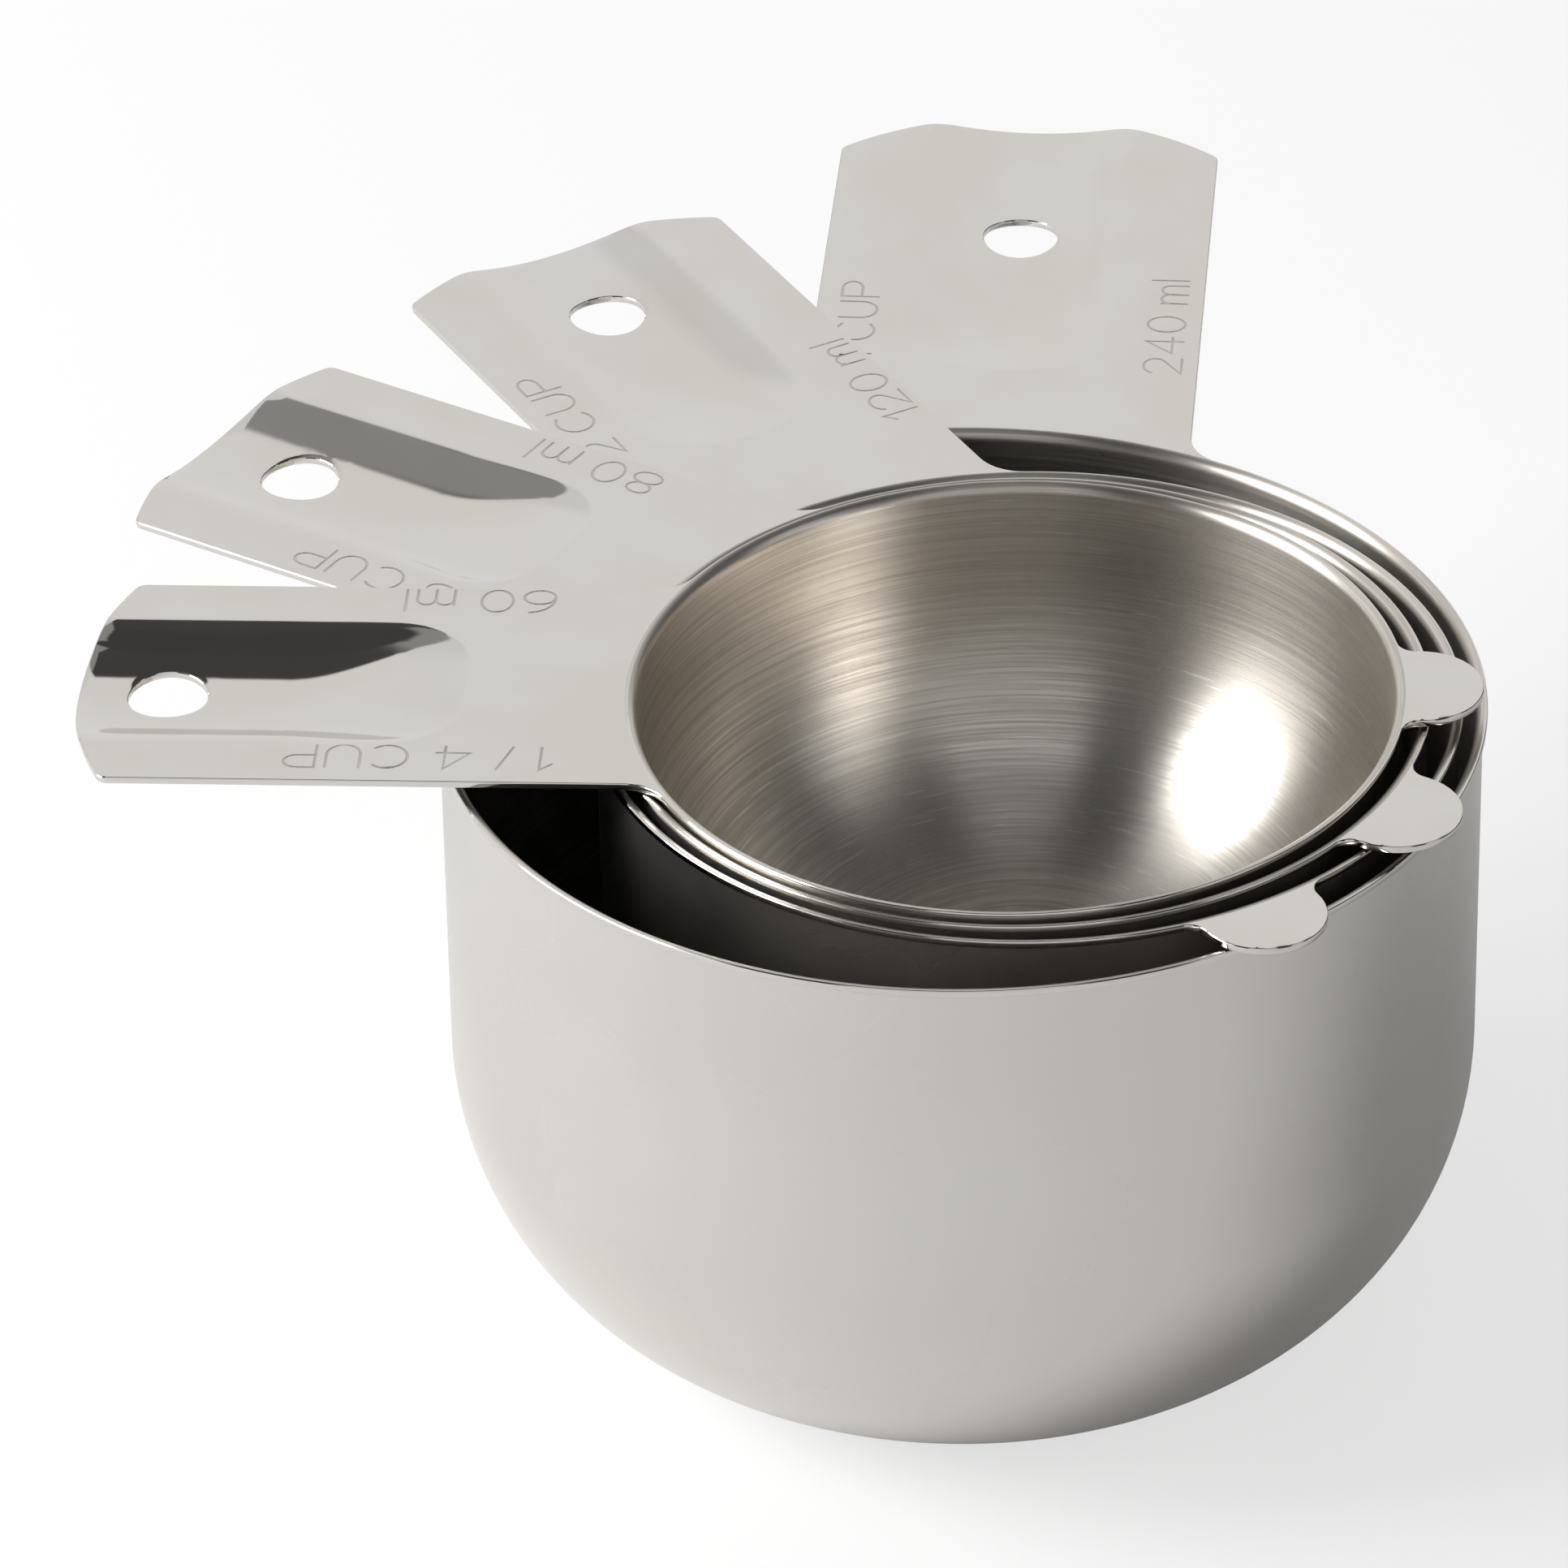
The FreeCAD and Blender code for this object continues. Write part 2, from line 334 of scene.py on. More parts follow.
class SheetMesh:
    """Points in millimetres and faces with a finish."""

    def __init__(self):
        self.points = []
        self.faces = []
        self.finishes = []

    def add(self, points):
        first = len(self.points)
        self.points.extend(points)
        return list(range(first, len(self.points)))

    def face(self, corners, finish):
        self.faces.append(corners)
        self.finishes.append(finish)

    def strip(self, one, other, finish):
        """Quads between two closed rings with equal numbers of points."""
        count = len(one)
        for k in range(count):
            after = (k + 1) % count
            self.face((one[k], one[after], other[after], other[k]), finish)

    def rounded_edge(self, top, bottom, normals, finish):
        """Turns the sheet over a cut edge, between its top loop and its bottom loop."""
        quarter = spread(0.0, math.pi / 2, EDGE_STEPS)
        rings = [top]
        for loop, side, angles in ((top, -1, quarter[1:]), (bottom, 1, quarter[:0:-1])):
            for angle in angles:
                out = EDGE * math.sin(angle)
                drop = side * EDGE * (1 - math.cos(angle))
                rings.append(self.add([
                    (self.points[i][0] + nx * out, self.points[i][1] + ny * out,
                     self.points[i][2] + drop)
                    for i, (nx, ny) in zip(loop, normals)]))
        rings.append(bottom)
        for one, other in zip(rings, rings[1:]):
            self.strip(one, other, finish)


def bowl_profile(rim, depth, corner, skin):
    """(radius, height) down the bowl's inner face (skin = SHEET) or outer face (skin = 0),
    from the floor to the edge of the lip."""
    wall = rim - LIP_RADIUS - skin
    flat = rim - LIP_RADIUS - corner
    bend = corner - skin
    centre_z = corner - depth
    lip_z = -SHEET - LIP_RADIUS + EDGE
    lip = LIP_RADIUS - EDGE + skin
    profile = [(flat * k / FLOOR_RINGS, skin - depth) for k in range(1, FLOOR_RINGS + 1)]
    profile += [(flat + bend * math.sin(a), centre_z - bend * math.cos(a))
                for a in spread(0.0, math.pi / 2, CORNER_RINGS)[1:]]
    profile += [(wall, z) for z in spread(centre_z, lip_z, WALL_RINGS)[1:]]
    profile += [(rim - EDGE - lip * math.cos(a), lip_z + lip * math.sin(a))
                for a in spread(0.0, math.pi / 2, LIP_STEPS)[1:]]
    return profile


def bowl_skin(mesh, profile, angles, floor_z, finish):
    """A turned face through the profile. Returns the ring at the lip's edge."""
    rings = [mesh.add([(r * math.cos(a), r * math.sin(a), z) for a in angles])
             for r, z in profile]
    centre = mesh.add([(0.0, 0.0, floor_z)])[0]
    count = len(angles)
    for k in range(count):
        mesh.face((centre, rings[0][k], rings[0][(k + 1) % count]), finish)
    for one, other in zip(rings, rings[1:]):
        mesh.strip(one, other, finish)
    return rings[-1]


def plate_interior(cup, polygon, hole_ring):
    """Mesh points inside a handle: columns along the channel, and a coarse net elsewhere."""
    start = cup["channel_start"]
    opened = start + CHANNEL_OPENING
    full = start + CHANNEL_RAMP
    tip = cup["corner_reach"] + cup["tip_bulge"]
    stations = [start - gap for gap in BEFORE_CHANNEL]
    stations += [start + CHANNEL_OPENING * (k / END_STATIONS) ** 2
                 for k in range(END_STATIONS + 1)]
    stations += spread(opened, full, RAMP_STATIONS)[1:]
    stations += spread(full, tip, RUN_STATIONS)[1:]
    points = [(x, y) for x in stations for y in channel_columns(cup, x)]
    half = cup["handle_width"] / 2
    x = NET_START
    while x < tip:
        flat = channel_half_width(cup, x) + CREASE + NET_SIDE_GAP
        for y in spread(-half, half, int(2 * half / NET_STEP)):
            if x < start - NET_END_GAP or abs(y) > flat:
                points.append((x, y))
        x += NET_STEP
    flags = inside_polygon(np.array([p[0] for p in points]),
                           np.array([p[1] for p in points]), polygon)
    hole_reach = HOLE_RADIUS + EDGE + HOLE_MARGIN + HOLE_RING_GAP
    keep = []
    for (x, y), inside in zip(points, flags):
        clear_of_hole = math.hypot(x - cup["hole_reach"], y) > hole_reach
        if inside and clear_of_hole and polygon_distance(x, y, polygon) > OUTLINE_GAP:
            keep.append((x, y))
    return keep + hole_ring


def add_plate(mesh, top_loop, bottom_loop, extra_loops, interior, strokes, height):
    """Fills a tongue of sheet, top and bottom.

    The loops are rings of mesh points that bound it: the first pair is its outline, and
    extra_loops are pairs around holes. Both faces get the same triangles.
    """
    flat = []
    edges = []
    top_of = {}
    bottom_of = {}
    polygons = []
    for tops, bottoms in [(top_loop, bottom_loop)] + extra_loops:
        first = len(flat)
        count = len(tops)
        for k in range(count):
            top_of[first + k] = tops[k]
            bottom_of[first + k] = bottoms[k]
            flat.append(Vector(mesh.points[tops[k]][:2]))
            edges.append((first + k, first + (k + 1) % count))
        polygons.append([tuple(point) for point in flat[first:]])
    flat += [Vector(point) for point in interior]
    for line in strokes:
        one, other, closed = stroke_sides(line)
        for path in (one, other, np.array(line)):
            count = len(path) - 1 if closed else len(path)
            first = len(flat)
            flat += [Vector(point) for point in path[:count]]
            edges += [(first + k, first + k + 1) for k in range(count - 1)]
            if closed:
                edges.append((first + count - 1, first))
        if not closed:
            for end, beyond in ((0, line[1]), (-1, line[-2])):
                centre = Vector(line[end])
                cap = centre + (centre - Vector(beyond)).normalized() * MARK_HALF_WIDTH
                first = len(flat)
                flat += [Vector(one[end]), cap, Vector(other[end])]
                edges += [(first, first + 1), (first + 1, first + 2)]

    points, _, faces, sources, _, _ = delaunay_2d_cdt(flat, edges, [], 0, 1e-5)
    middle = np.array([(points[a] + points[b] + points[c]) / 3 for a, b, c in faces])
    wanted = inside_polygon(middle[:, 0], middle[:, 1], polygons[0])
    for polygon in polygons[1:]:
        wanted &= ~inside_polygon(middle[:, 0], middle[:, 1], polygon)

    used = sorted({i for face, want in zip(faces, wanted) if want for i in face})
    tops = {}
    bottoms = {}
    for i in used:
        known = [s for s in sources[i] if s in top_of]
        if known:
            tops[i] = top_of[known[0]]
            bottoms[i] = bottom_of[known[0]]
        else:
            x, y = points[i]
            z = height(x, y)
            stamped = groove_depth(x, y, lines_near(x, y, strokes))
            tops[i] = mesh.add([(x, y, z - stamped)])[0]
            bottoms[i] = mesh.add([(x, y, z - SHEET)])[0]
    for face, want, (x, y) in zip(faces, wanted, middle):
        if want:
            stamped = groove_depth(x, y, lines_near(x, y, strokes)) > 0.05 * MARK_DEPTH
            mesh.face(tuple(tops[i] for i in face), MARK if stamped else PLATE)
            mesh.face(tuple(bottoms[i] for i in reversed(face)), PLATE)


def turned_point(x, y, turn):
    """A point turned about the rim's centre."""
    return (x * math.cos(turn) - y * math.sin(turn), x * math.sin(turn) + y * math.cos(turn))


def add_tongue(mesh, outline, turn, height):
    """Adds a tongue's outline to the mesh. Returns its top and bottom loops and normals."""
    inset = [(x - nx * EDGE, y - ny * EDGE) for x, y, nx, ny in outline]
    tops = mesh.add([(*turned_point(x, y, turn), height(x, y)) for x, y in inset])
    bottoms = mesh.add([(*turned_point(x, y, turn), height(x, y) - SHEET) for x, y in inset])
    normals = [turned_point(nx, ny, turn) for _, _, nx, ny in outline]
    return tops, bottoms, normals


def flat_height(x, y):
    """Height of a tab's top face."""
    return 0.0


def cup_mesh(cup, rim, depth):
    """One cup as a closed sheet of steel."""
    mesh = SheetMesh()
    has_tab = "tab_length" in cup
    half = cup["handle_width"] / 2
    root = math.asin((half + HANDLE_ROOT_FILLET) / (rim + HANDLE_ROOT_FILLET))
    handle_angles = spread(-root, root, HANDLE_ROOT_STEPS)
    tab_root = 0.0
    opposite = math.pi
    tab_angles = [opposite]
    if has_tab:
        opposite += math.radians(cup["tab_turn"])
        tab_root = math.asin((cup["tab_half_width"] + TAB_ROOT_FILLET) / (rim + TAB_ROOT_FILLET))
        tab_angles = spread(opposite - tab_root, opposite + tab_root, TAB_ROOT_STEPS)
    left = spread(root, opposite - tab_root, OPEN_RIM_STEPS)[1:-1]
    right = spread(opposite + tab_root, 2 * math.pi - root, OPEN_RIM_STEPS)[1:-1]
    angles = handle_angles + left + tab_angles + right
    count = len(handle_angles)
    tab_first = count + len(left)
    tab_last = tab_first + len(tab_angles)

    inner = bowl_skin(mesh, bowl_profile(rim, depth, cup["corner"], SHEET), angles,
                      SHEET - depth, INSIDE)
    outer = bowl_skin(mesh, bowl_profile(rim, depth, cup["corner"], 0.0), angles,
                      -depth, OUTSIDE)
    radial = [(math.cos(a), math.sin(a)) for a in angles]

    def height(x, y):
        return handle_height(cup, x, y)

    bulge = cup["tip_bulge"]
    tip = cup["corner_reach"] + bulge
    bulge_radius = (half ** 2 + bulge ** 2) / (2 * bulge)
    reach = half - TIP_CORNER_RADIUS
    corner_y = reach * bulge_radius / (bulge_radius - TIP_CORNER_RADIUS)
    columns = channel_columns(cup, tip)
    side = spread(columns[-1], corner_y, TIP_FLAT_STEPS)[1:-1]
    tip_columns = [-y for y in reversed(side)] + columns + side
    outline = tongue_outline(rim, half, HANDLE_ROOT_FILLET, cup["corner_reach"], tip,
                             TIP_CORNER_RADIUS, tip_columns)
    tops, bottoms, normals = add_tongue(mesh, outline, 0.0, height)
    loop_tops = list(tops)
    loop_bottoms = list(bottoms)
    loop_normals = list(normals)

    hole_angles = spread(0.0, 2 * math.pi, HOLE_POINTS)[:-1]
    hole = [(cup["hole_reach"] + (HOLE_RADIUS + EDGE) * math.cos(a),
             (HOLE_RADIUS + EDGE) * math.sin(a)) for a in hole_angles]
    hole_tops = mesh.add([(x, y, height(x, y)) for x, y in hole])
    hole_bottoms = mesh.add([(x, y, height(x, y) - SHEET) for x, y in hole])
    hole_normals = [(-math.cos(a), -math.sin(a)) for a in hole_angles]
    mesh.rounded_edge(hole_tops, hole_bottoms, hole_normals, PLATE)

    margin = HOLE_RADIUS + EDGE + HOLE_MARGIN
    hole_ring = [(cup["hole_reach"] + margin * math.cos(a), margin * math.sin(a))
                 for a in hole_angles]
    plate_top = tops + inner[count - 1::-1]
    plate_bottom = bottoms + outer[count - 1::-1]
    polygon = [mesh.points[i][:2] for i in plate_top]
    strokes = [line for mark in cup["marks"] for line in mark_strokes(*mark)]
    add_plate(mesh, plate_top, plate_bottom, [(hole_tops, hole_bottoms)],
              plate_interior(cup, polygon, hole_ring), strokes, height)

    loop_tops += inner[count - 1:tab_first]
    loop_bottoms += outer[count - 1:tab_first]
    loop_normals += radial[count - 1:tab_first]
    if has_tab:
        tab_tip = rim + cup["tab_length"]
        width = cup["tab_half_width"]
        tab_columns = [width * math.sin(a) * TAB_TIP_SHARE
                       for a in spread(-TAB_TIP_ANGLE, TAB_TIP_ANGLE, TAB_TIP_STEPS)]
        outline = tongue_outline(rim, width, TAB_ROOT_FILLET, tab_tip - width, tab_tip,
                                 0.0, [y * (width - EDGE) / width for y in tab_columns])
        tops, bottoms, normals = add_tongue(mesh, outline, opposite, flat_height)
        net = [turned_point(x, y, opposite) for x in spread(rim + TAB_NET_GAP, tab_tip - TAB_NET_GAP, 4)
               for y in spread(-width + TAB_NET_GAP, width - TAB_NET_GAP, 5)
               if x < tab_tip - width or math.hypot(x - tab_tip + width, y) < width - TAB_TIP_GAP]
        add_plate(mesh, tops + inner[tab_last - 1:tab_first - 1:-1],
                  bottoms + outer[tab_last - 1:tab_first - 1:-1], [], net, [], flat_height)
        loop_tops += [inner[tab_first]] + tops + [inner[tab_last - 1]]
        loop_bottoms += [outer[tab_first]] + bottoms + [outer[tab_last - 1]]
        loop_normals += [radial[tab_first]] + normals + [radial[tab_last - 1]]
    else:
        loop_tops.append(inner[tab_first])
        loop_bottoms.append(outer[tab_first])
        loop_normals.append(radial[tab_first])
    loop_tops += inner[tab_last:] + inner[:1]
    loop_bottoms += outer[tab_last:] + outer[:1]
    loop_normals += radial[tab_last:] + radial[:1]
    mesh.rounded_edge(loop_tops, loop_bottoms, loop_normals, PLATE)
    return mesh


# ---------------------------------------------------------------- placing the cups

def cup_place(cup):
    """The cup's matrix, its handle's heading, its rim radius and its depth, from its CAD
    bowl and hanging hole. The matrix only tilts and shifts: the heading is in the mesh."""
    mounts = {mount["name"]: mount for mount in frame["record"]["mounts"]}
    mount = mounts[cup["name"] + "_hanging_hole"]
    up = Vector(mount["axis"]).normalized()
    low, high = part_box(cup["name"] + "_bowl")
    on_plane = Vector(mount["pos_m"]) + up * (CHANNEL_DEPTH + SHEET / 2) * MM
    along = on_plane - (low + high) / 2
    along.z = -(along.x * up.x + along.y * up.y) / up.z
    centre = on_plane - along
    tilt = Vector((0, 0, 1)).rotation_difference(up)
    forward = tilt.inverted() @ along
    heading = math.atan2(forward.y, forward.x)
    matrix = tilt.to_matrix().to_4x4()
    matrix.translation = centre
    rim = (high.x - low.x) / 2 / MM
    flat = rim - LIP_RADIUS - cup["corner"]
    drop = (centre.z - low.z) / MM
    depth = (drop - cup["corner"] - flat * math.sin(tilt.angle)) / up.z + cup["corner"]
    return matrix, heading, rim, depth


def build_cup(cup, finishes):
    matrix, heading, rim, depth = cup_place(cup)
    sheet = cup_mesh(cup, rim, depth)
    data = bpy.data.meshes.new(cup["name"])
    turn = Matrix.Rotation(heading, 3, "Z") * MM
    data.from_pydata([turn @ Vector(point) for point in sheet.points], [], sheet.faces)
    for finish in finishes:
        data.materials.append(finish)
    data.polygons.foreach_set("material_index", sheet.finishes)
    work = bmesh.new()
    work.from_mesh(data)
    bmesh.ops.recalc_face_normals(work, faces=work.faces)
    if not all(edge.is_manifold for edge in work.edges):
        raise ValueError(cup["name"] + " isn't one closed sheet")
    along = work.loops.layers.uv.new(ALONG_HANDLE)
    for face in work.faces:
        for loop in face.loops:
            x, y, _ = sheet.points[loop.vert.index]
            loop[along].uv = (x * MM, y * MM)
    work.to_mesh(data)
    work.free()
    data.shade_smooth()
    data.set_sharp_from_angle(angle=math.radians(24))
    piece = bpy.data.objects.new(cup["name"] + "_steel", data)
    bpy.context.scene.collection.objects.link(piece)
    weighted = piece.modifiers.new("weighted_normals", "WEIGHTED_NORMAL")
    weighted.keep_sharp = True
    piece.matrix_world = matrix
    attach(piece, cup["name"])
    nodes = [cup["name"] + "_bowl", cup["name"] + "_handle"]
    if "tab_length" in cup:
        nodes.append(cup["name"] + "_tab")
    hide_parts(*nodes)
    return piece


# ---------------------------------------------------------------- materials

class Nodes:
    """Adds and links nodes in one tree. Values may be numbers or the sockets of other nodes."""

    def __init__(self, tree):
        self.tree = tree

    def set(self, socket, value):
        if isinstance(value, bpy.types.NodeSocket):
            self.tree.links.new(value, socket)
        else:
            socket.default_value = value

    def add(self, kind, inputs=None, **settings):
        node = self.tree.nodes.new(kind)
        for name, value in settings.items():
            setattr(node, name, value)
        for name, value in (inputs or {}).items():
            self.set(node.inputs[name], value)
        return node

    def math(self, operation, *values, clamp=False):
        node = self.add("ShaderNodeMath", operation=operation, use_clamp=clamp)
        for socket, value in zip(node.inputs, values):
            self.set(socket, value)
        return node.outputs[0]

    def range(self, value, low, high, to_low=0.0, to_high=1.0, smooth=True):
        inputs = {"Value": value, "From Min": low, "From Max": high,
                  "To Min": to_low, "To Max": to_high}
        node = self.add("ShaderNodeMapRange", inputs)
        node.interpolation_type = "SMOOTHSTEP" if smooth else "LINEAR"
        return node.outputs[0]

    def mix(self, factor, one, other):
        node = self.add("ShaderNodeMix", data_type="RGBA")
        self.set(node.inputs[0], factor)
        self.set(node.inputs[6], one)
        self.set(node.inputs[7], other)
        return node.outputs[2]

    def noise(self, vector, w, detail=2.0, roughness=0.5):
        node = self.add("ShaderNodeTexNoise", {"Scale": 1.0, "Detail": detail,
                                               "Roughness": roughness})
        node.noise_dimensions = "4D"
        self.set(node.inputs["Vector"], vector)
        self.set(node.inputs["W"], w)
        return node.outputs["Fac"]

    def vector(self, x, y, z):
        return self.add("ShaderNodeCombineXYZ", {"X": x, "Y": y, "Z": z}).outputs[0]


def new_steel(name, anisotropy):
    """A metallic material and its nodes, with the anisotropy set on the shader itself."""
    material = bpy.data.materials.new(name)
    material.use_nodes = True
    shader = material.node_tree.nodes["Principled BSDF"]
    shader.inputs["Metallic"].default_value = 1.0
    shader.inputs["Anisotropic"].default_value = anisotropy
    return material, Nodes(material.node_tree), shader


def turned_coordinates(nodes):
    """Radius, height and the cosine and sine of the angle about the cup's axis."""
    position = nodes.add("ShaderNodeTexCoord").outputs["Object"]
    x, y, z = nodes.add("ShaderNodeSeparateXYZ", {"Vector": position}).outputs
    radius = nodes.math("SQRT", nodes.math("ADD", nodes.math("MULTIPLY", x, x),
                                           nodes.math("MULTIPLY", y, y)))
    safe = nodes.math("MAXIMUM", radius, 1e-5)
    return radius, z, nodes.math("DIVIDE", x, safe), nodes.math("DIVIDE", y, safe)


def turned_noise(nodes, turned, lines_per_metre, breaks, detail=2.0, roughness=0.5):
    """Noise drawn out into circles round the cup's axis, which break up along their length."""
    radius, z, cosine, sine = turned
    vector = nodes.vector(nodes.math("MULTIPLY", radius, lines_per_metre),
                          nodes.math("MULTIPLY", cosine, breaks),
                          nodes.math("MULTIPLY", sine, breaks))
    return nodes.noise(vector, nodes.math("MULTIPLY", z, lines_per_metre), detail, roughness)


def turn_highlights(nodes, shader, turned):
    """Spreads highlights across marks that run round the cup's axis."""
    _, _, cosine, sine = turned
    round_axis = nodes.vector(nodes.math("MULTIPLY", sine, -1.0), cosine, 0.0)
    tangent = nodes.add("ShaderNodeVectorTransform", {"Vector": round_axis},
                        vector_type="VECTOR", convert_from="OBJECT", convert_to="WORLD")
    nodes.set(shader.inputs["Tangent"], tangent.outputs[0])
    shader.inputs["Anisotropic Rotation"].default_value = 0.25


def finish_steel(nodes, shader, color, roughness, height, strength, distance):
    nodes.set(shader.inputs["Base Color"], color)
    nodes.set(shader.inputs["Roughness"], roughness)
    bump = nodes.add("ShaderNodeBump", {"Strength": strength, "Distance": distance,
                                        "Height": height})
    nodes.set(shader.inputs["Normal"], bump.outputs[0])


def scaled(nodes, vector, factor):
    return nodes.add("ShaderNodeVectorMath", {0: vector, "Scale": factor},
                     operation="SCALE").outputs[0]


def brushed_inside():
    """The bowl's satin inside, with fine circular brush marks and a few scratches, which are real in
    the bump and carry a painted glint in their near-white colour.
    """
    material, nodes, shader = new_steel("steel_bowl_inside", 0.85)
    turned = turned_coordinates(nodes)
    fine = turned_noise(nodes, turned, 5200.0, 1.5, 3.0, 0.65)
    broad = turned_noise(nodes, turned, 2300.0, 1.0, 2.0)
    # Scratches: a real groove in the bump below, and a painted glint in the colour.
    scratch_and_glint = nodes.range(turned_noise(nodes, turned, 4200.0, 4.0, 1.0), 0.66, 0.72)
    grain = nodes.math("ADD", nodes.math("MULTIPLY", fine, 0.65),
                       nodes.math("MULTIPLY", broad, 0.35))
    shade = nodes.range(grain, 0.38, 0.62)
    # These colours are warmer than the outside's: the random grain is the steel's tone, and the extra
    # warmth is a painted warm reflection.
    color = nodes.mix(shade, (0.54, 0.505, 0.455, 1), (0.72, 0.685, 0.635, 1))
    # Painted glint: the scratches are mixed towards a near-white colour.
    color = nodes.mix(nodes.math("MULTIPLY", scratch_and_glint, 0.6), color, (0.88, 0.86, 0.83, 1))
    roughness = nodes.range(grain, 0.38, 0.62, 0.36, 0.28)
    height = nodes.math("SUBTRACT", grain, nodes.math("MULTIPLY", scratch_and_glint, 0.5))
    turn_highlights(nodes, shader, turned)
    finish_steel(nodes, shader, color, roughness, height, 0.14, 0.00003)
    return material


def satin_outside():
    """The bowl's outside: smoother, with faint turned marks and cloudy handling marks."""
    material, nodes, shader = new_steel("steel_bowl_outside", 0.3)
    turned = turned_coordinates(nodes)
    position = nodes.add("ShaderNodeTexCoord").outputs["Object"]
    cloud = nodes.noise(scaled(nodes, position, 38.0), 0.0, 3.0, 0.55)
    speck = nodes.range(nodes.noise(scaled(nodes, position, 700.0), 4.0, 1.0), 0.74, 0.80)
    color = nodes.mix(nodes.range(cloud, 0.3, 0.7), (0.665, 0.638, 0.605, 1),
                      (0.69, 0.67, 0.64, 1))
    color = nodes.mix(nodes.math("MULTIPLY", speck, 0.15), color, (0.5, 0.47, 0.43, 1))
    roughness = nodes.range(cloud, 0.3, 0.7, 0.25, 0.30)
    turn_highlights(nodes, shader, turned)
    finish_steel(nodes, shader, color, roughness, cloud, 0.02, 0.0002)
    return material


def polished_plate():
    """Handles, tabs and rims: bright, nearly smooth sheet with very faint rolling streaks."""
    material, nodes, shader = new_steel("steel_plate", 0.0)
    along = nodes.add("ShaderNodeUVMap", uv_map=ALONG_HANDLE).outputs[0]
    x, y, _ = nodes.add("ShaderNodeSeparateXYZ", {"Vector": along}).outputs
    streak = nodes.noise(nodes.vector(nodes.math("MULTIPLY", x, 60.0),
                                      nodes.math("MULTIPLY", y, 2600.0), 0.0), 1.0, 3.0, 0.6)
    smudge = nodes.noise(nodes.vector(nodes.math("MULTIPLY", x, 55.0),
                                      nodes.math("MULTIPLY", y, 90.0), 0.0), 7.0, 3.0, 0.5)
    color = nodes.mix(nodes.range(smudge, 0.35, 0.65), (0.665, 0.635, 0.59, 1),
                      (0.69, 0.672, 0.645, 1))
    roughness = nodes.math("ADD", nodes.range(smudge, 0.35, 0.7, 0.045, 0.085),
                           nodes.range(streak, 0.3, 0.7, -0.004, 0.008))
    finish_steel(nodes, shader, color, roughness, smudge, 0.05, 0.00004)
    return material


def stamped_mark():
    """The volume marks: matte grey grooves."""
    material, nodes, shader = new_steel("steel_mark", 0.0)
    position = nodes.add("ShaderNodeTexCoord").outputs["Object"]
    grain = nodes.noise(scaled(nodes, position, 3000.0), 0.0, 2.0)
    color = nodes.mix(nodes.range(grain, 0.3, 0.7), (0.56, 0.535, 0.505, 1), (0.64, 0.615, 0.585, 1))
    finish_steel(nodes, shader, color, nodes.range(grain, 0.3, 0.7, 0.36, 0.46), grain,
                 0.10, 0.00001)
    return material


# ---------------------------------------------------------------- stage

CAMERA_TARGET = Vector((-0.0171, 0.0351, 0.02265))
CAMERA_DISTANCE = 0.8154
CAMERA_AZIMUTH = 5.295
CAMERA_ELEVATION = 32.917
CAMERA_ROLL = -1.0045
CAMERA_LENS = 227.6


def add_camera():
    azimuth = math.radians(CAMERA_AZIMUTH)
    elevation = math.radians(CAMERA_ELEVATION)
    roll = math.radians(CAMERA_ROLL)
    back = Vector((math.sin(azimuth) * math.cos(elevation),
                   -math.cos(azimuth) * math.cos(elevation),
                   math.sin(elevation)))
    right = (-back).cross(Vector((0, 0, 1))).normalized()
    up = back.cross(right)
    rolled_right = right * math.cos(roll) + up * math.sin(roll)
    rolled_up = up * math.cos(roll) - right * math.sin(roll)
    data = bpy.data.cameras.new("camera")
    data.lens = CAMERA_LENS
    data.sensor_width = 36.0
    data.clip_start = 0.05
    data.clip_end = 20.0
    camera = bpy.data.objects.new("camera", data)
    matrix = Matrix((rolled_right, rolled_up, back)).transposed().to_4x4()
    matrix.translation = CAMERA_TARGET + back * CAMERA_DISTANCE
    camera.matrix_world = matrix
    bpy.context.scene.collection.objects.link(camera)
    bpy.context.scene.camera = camera


def add_floor(name, height, paint, glow, seen_by_camera):
    """A pale floor. The camera sees one, softened by a little glow of its own, and the steel
    is lit by another just below it."""
    size = 3.0
    data = bpy.data.meshes.new(name)
    corners = [(-size, -size), (size, -size), (size, size), (-size, size)]
    data.from_pydata([(x, y, height) for x, y in corners], [], [(0, 1, 2, 3)])
    material = bpy.data.materials.new(name)
    material.use_nodes = True
    shader = material.node_tree.nodes["Principled BSDF"]
    shader.inputs["Base Color"].default_value = (paint, paint, paint, 1)
    shader.inputs["Roughness"].default_value = 0.9
    shader.inputs["Specular IOR Level"].default_value = 0.0
    shader.inputs["Emission Color"].default_value = (1, 1, 1, 1)
    shader.inputs["Emission Strength"].default_value = glow
    data.materials.append(material)
    floor = bpy.data.objects.new(name, data)
    floor.visible_camera = seen_by_camera
    floor.visible_diffuse = not seen_by_camera
    floor.visible_glossy = not seen_by_camera
    floor.visible_shadow = not seen_by_camera
    bpy.context.scene.collection.objects.link(floor)


def direction(azimuth, elevation):
    """A unit vector. Azimuth 0 is towards -Y, and 90 is towards +X."""
    azimuth = math.radians(azimuth)
    elevation = math.radians(elevation)
    return Vector((math.sin(azimuth) * math.cos(elevation),
                   -math.cos(azimuth) * math.cos(elevation),
                   math.sin(elevation)))


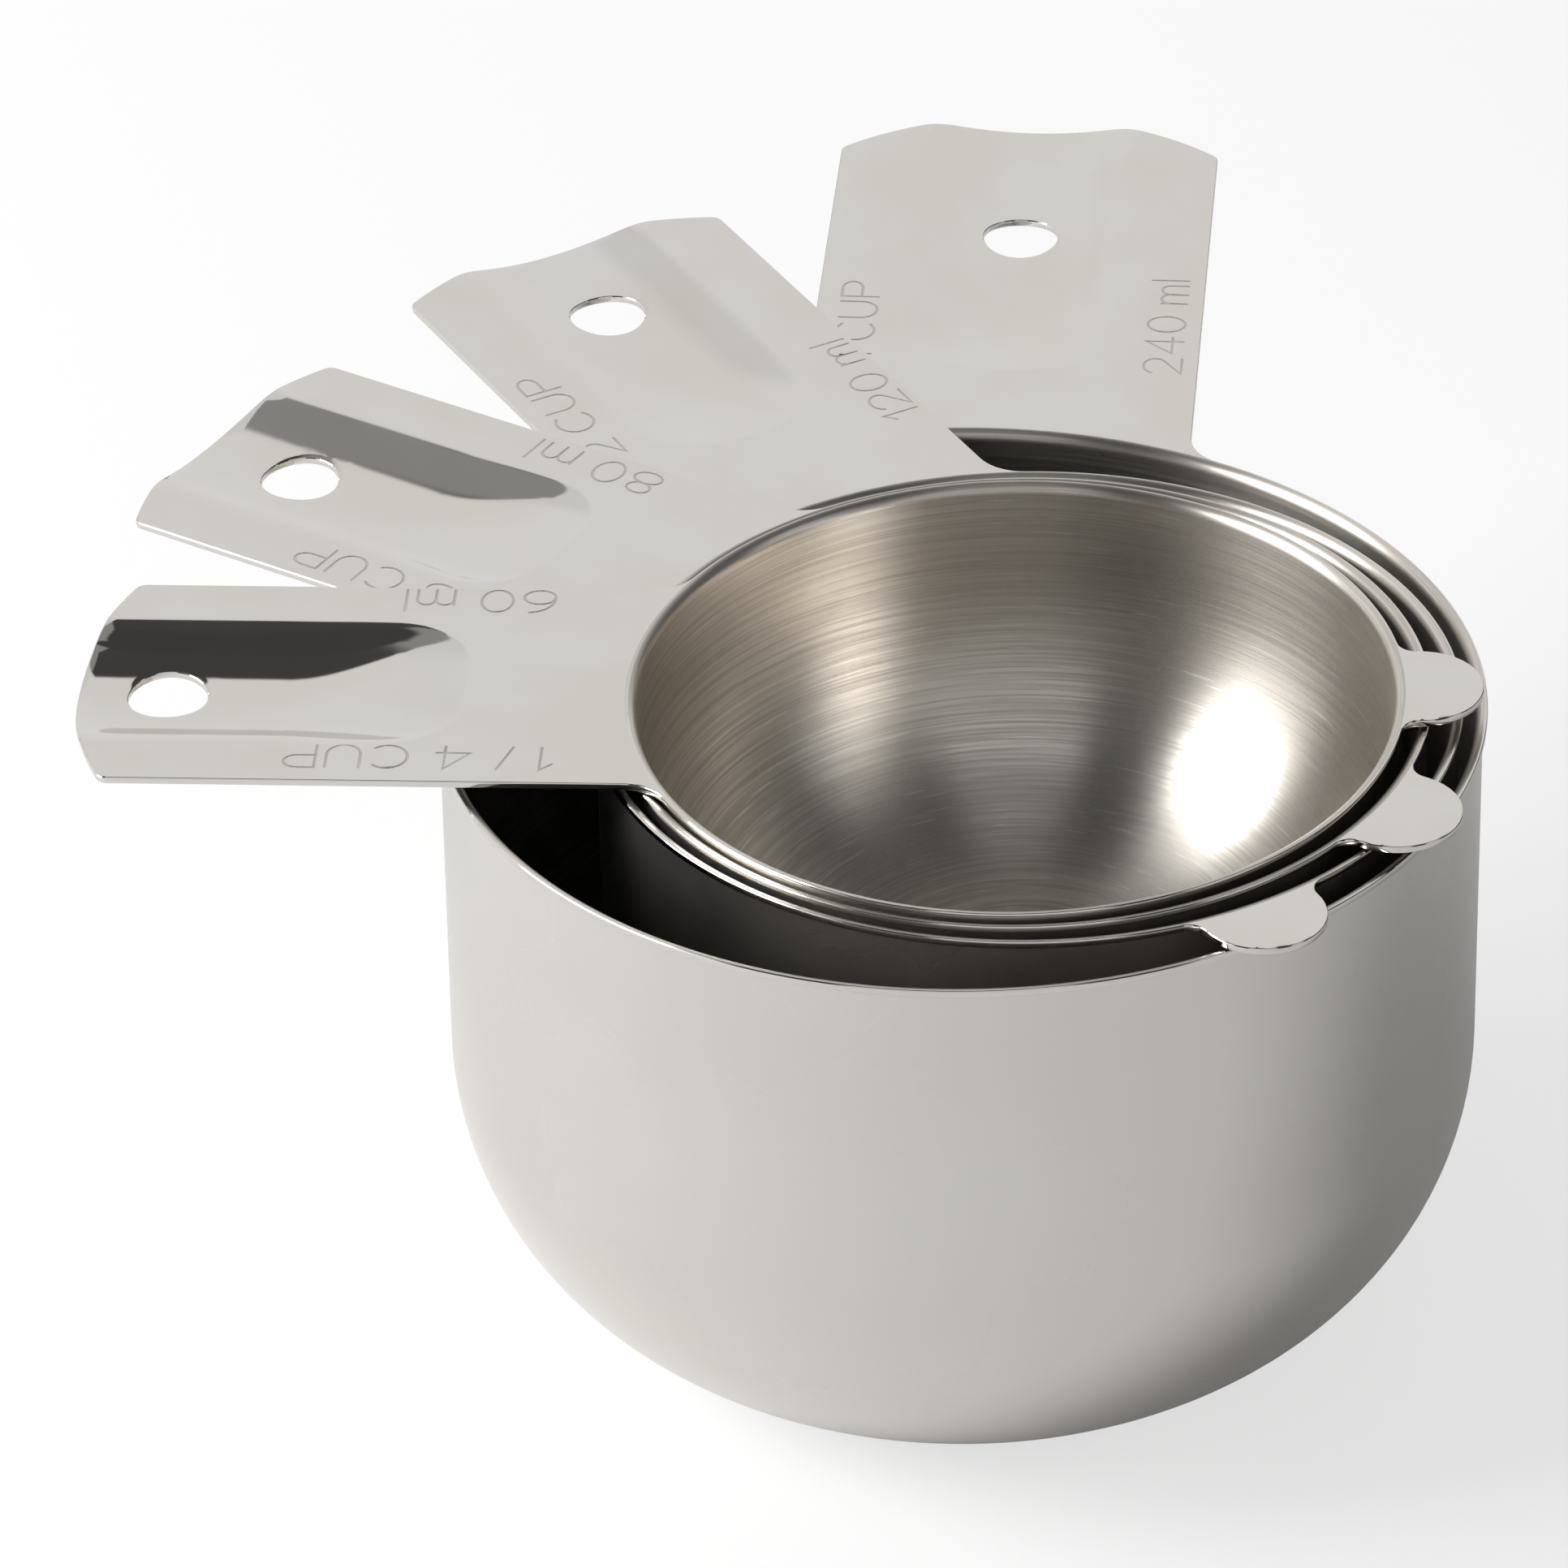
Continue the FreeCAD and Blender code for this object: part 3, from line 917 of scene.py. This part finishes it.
# The studio round the object: brightness by azimuth of the walls, and of the ceiling's
# edge above them. Higher up the ceiling is dark.
STUDIO_WALLS = [(0, 0.50), (35, 0.50), (50, 0.25), (58, 0.66), (80, 0.66), (88, 0.12),
                (140, 0.12), (158, 0.88), (199, 0.90), (206, 0.80), (216, 0.82), (226, 0.92),
                (262, 1.0), (300, 1.0), (309, 0.12), (333, 0.14), (341, 0.50), (360, 0.50)]
STUDIO_EDGE = [(0, 0.70), (30, 0.70), (38, 0.065), (200, 0.065), (203, 0.32), (250, 0.32),
               (256, 0.065), (330, 0.065), (336, 0.70), (360, 0.70)]
CEILING = 0.06
TOP_LIGHT = 0.40            # straight above, so the plates aren't black from the top
WALL_TOP = (47, 49)         # degrees up, where the walls end
EDGE_TOP = (60, 64)         # degrees up, where the ceiling's edge ends
TOP_START = (78, 83)        # degrees up, where the top light starts


def ramp(nodes, factor, stops, full):
    """Looks up a grey level. The stops are (value, level), and full is the largest value."""
    node = nodes.add("ShaderNodeValToRGB", {"Fac": factor})
    elements = node.color_ramp.elements
    while len(elements) < len(stops):
        elements.new(0.5)
    for element, (value, level) in zip(elements, stops):
        element.position = value / full
        element.color = (level, level, level, 1)
    return node.outputs[0]


def add_world():
    world = bpy.data.worlds.new("studio")
    bpy.context.scene.world = world
    world.use_nodes = True
    nodes = Nodes(world.node_tree)
    towards = nodes.add("ShaderNodeTexCoord").outputs["Generated"]
    x, y, z = nodes.add("ShaderNodeSeparateXYZ", {"Vector": towards}).outputs
    azimuth = nodes.math("ARCTAN2", x, nodes.math("MULTIPLY", y, -1.0))
    turn = nodes.math("FRACT", nodes.math("DIVIDE", azimuth, 2 * math.pi))
    rise = nodes.math("DIVIDE", nodes.math("ARCSINE", z), math.pi / 180)
    walls = ramp(nodes, turn, STUDIO_WALLS, 360)
    edge = ramp(nodes, turn, STUDIO_EDGE, 360)
    level = nodes.mix(nodes.range(rise, *WALL_TOP), walls, edge)
    level = nodes.mix(nodes.range(rise, *EDGE_TOP), level, (CEILING, CEILING, CEILING, 1))
    level = nodes.mix(nodes.range(rise, *TOP_START), level, (TOP_LIGHT, TOP_LIGHT, TOP_LIGHT, 1))
    background = world.node_tree.nodes["Background"]
    nodes.set(background.inputs["Color"], level)
    background.inputs["Strength"].default_value = 1.0


KEY_DIRECTION = direction(278, 30)
KEY_DISTANCE = 0.9
KEY_SIZE = 0.5
KEY_RADIANCE = 11.0


def add_key_light():
    data = bpy.data.lights.new("key", "AREA")
    data.shape = "SQUARE"
    data.size = KEY_SIZE
    data.energy = math.pi * KEY_SIZE ** 2 * KEY_RADIANCE
    lamp = bpy.data.objects.new("key", data)
    lamp.location = KEY_DIRECTION * KEY_DISTANCE
    lamp.rotation_euler = KEY_DIRECTION.to_track_quat("Z", "Y").to_euler()
    bpy.context.scene.collection.objects.link(lamp)


finishes = [brushed_inside(), satin_outside(), polished_plate(), stamped_mark()]
for cup in CUPS:
    build_cup(cup, finishes)
add_floor("floor", 0.0, 0.35, 0.66, True)
add_floor("floor_for_reflections", -0.0001, 0.9, 0.0, False)
add_camera()
add_world()
add_key_light()
bpy.context.scene.view_settings.view_transform = "Standard"
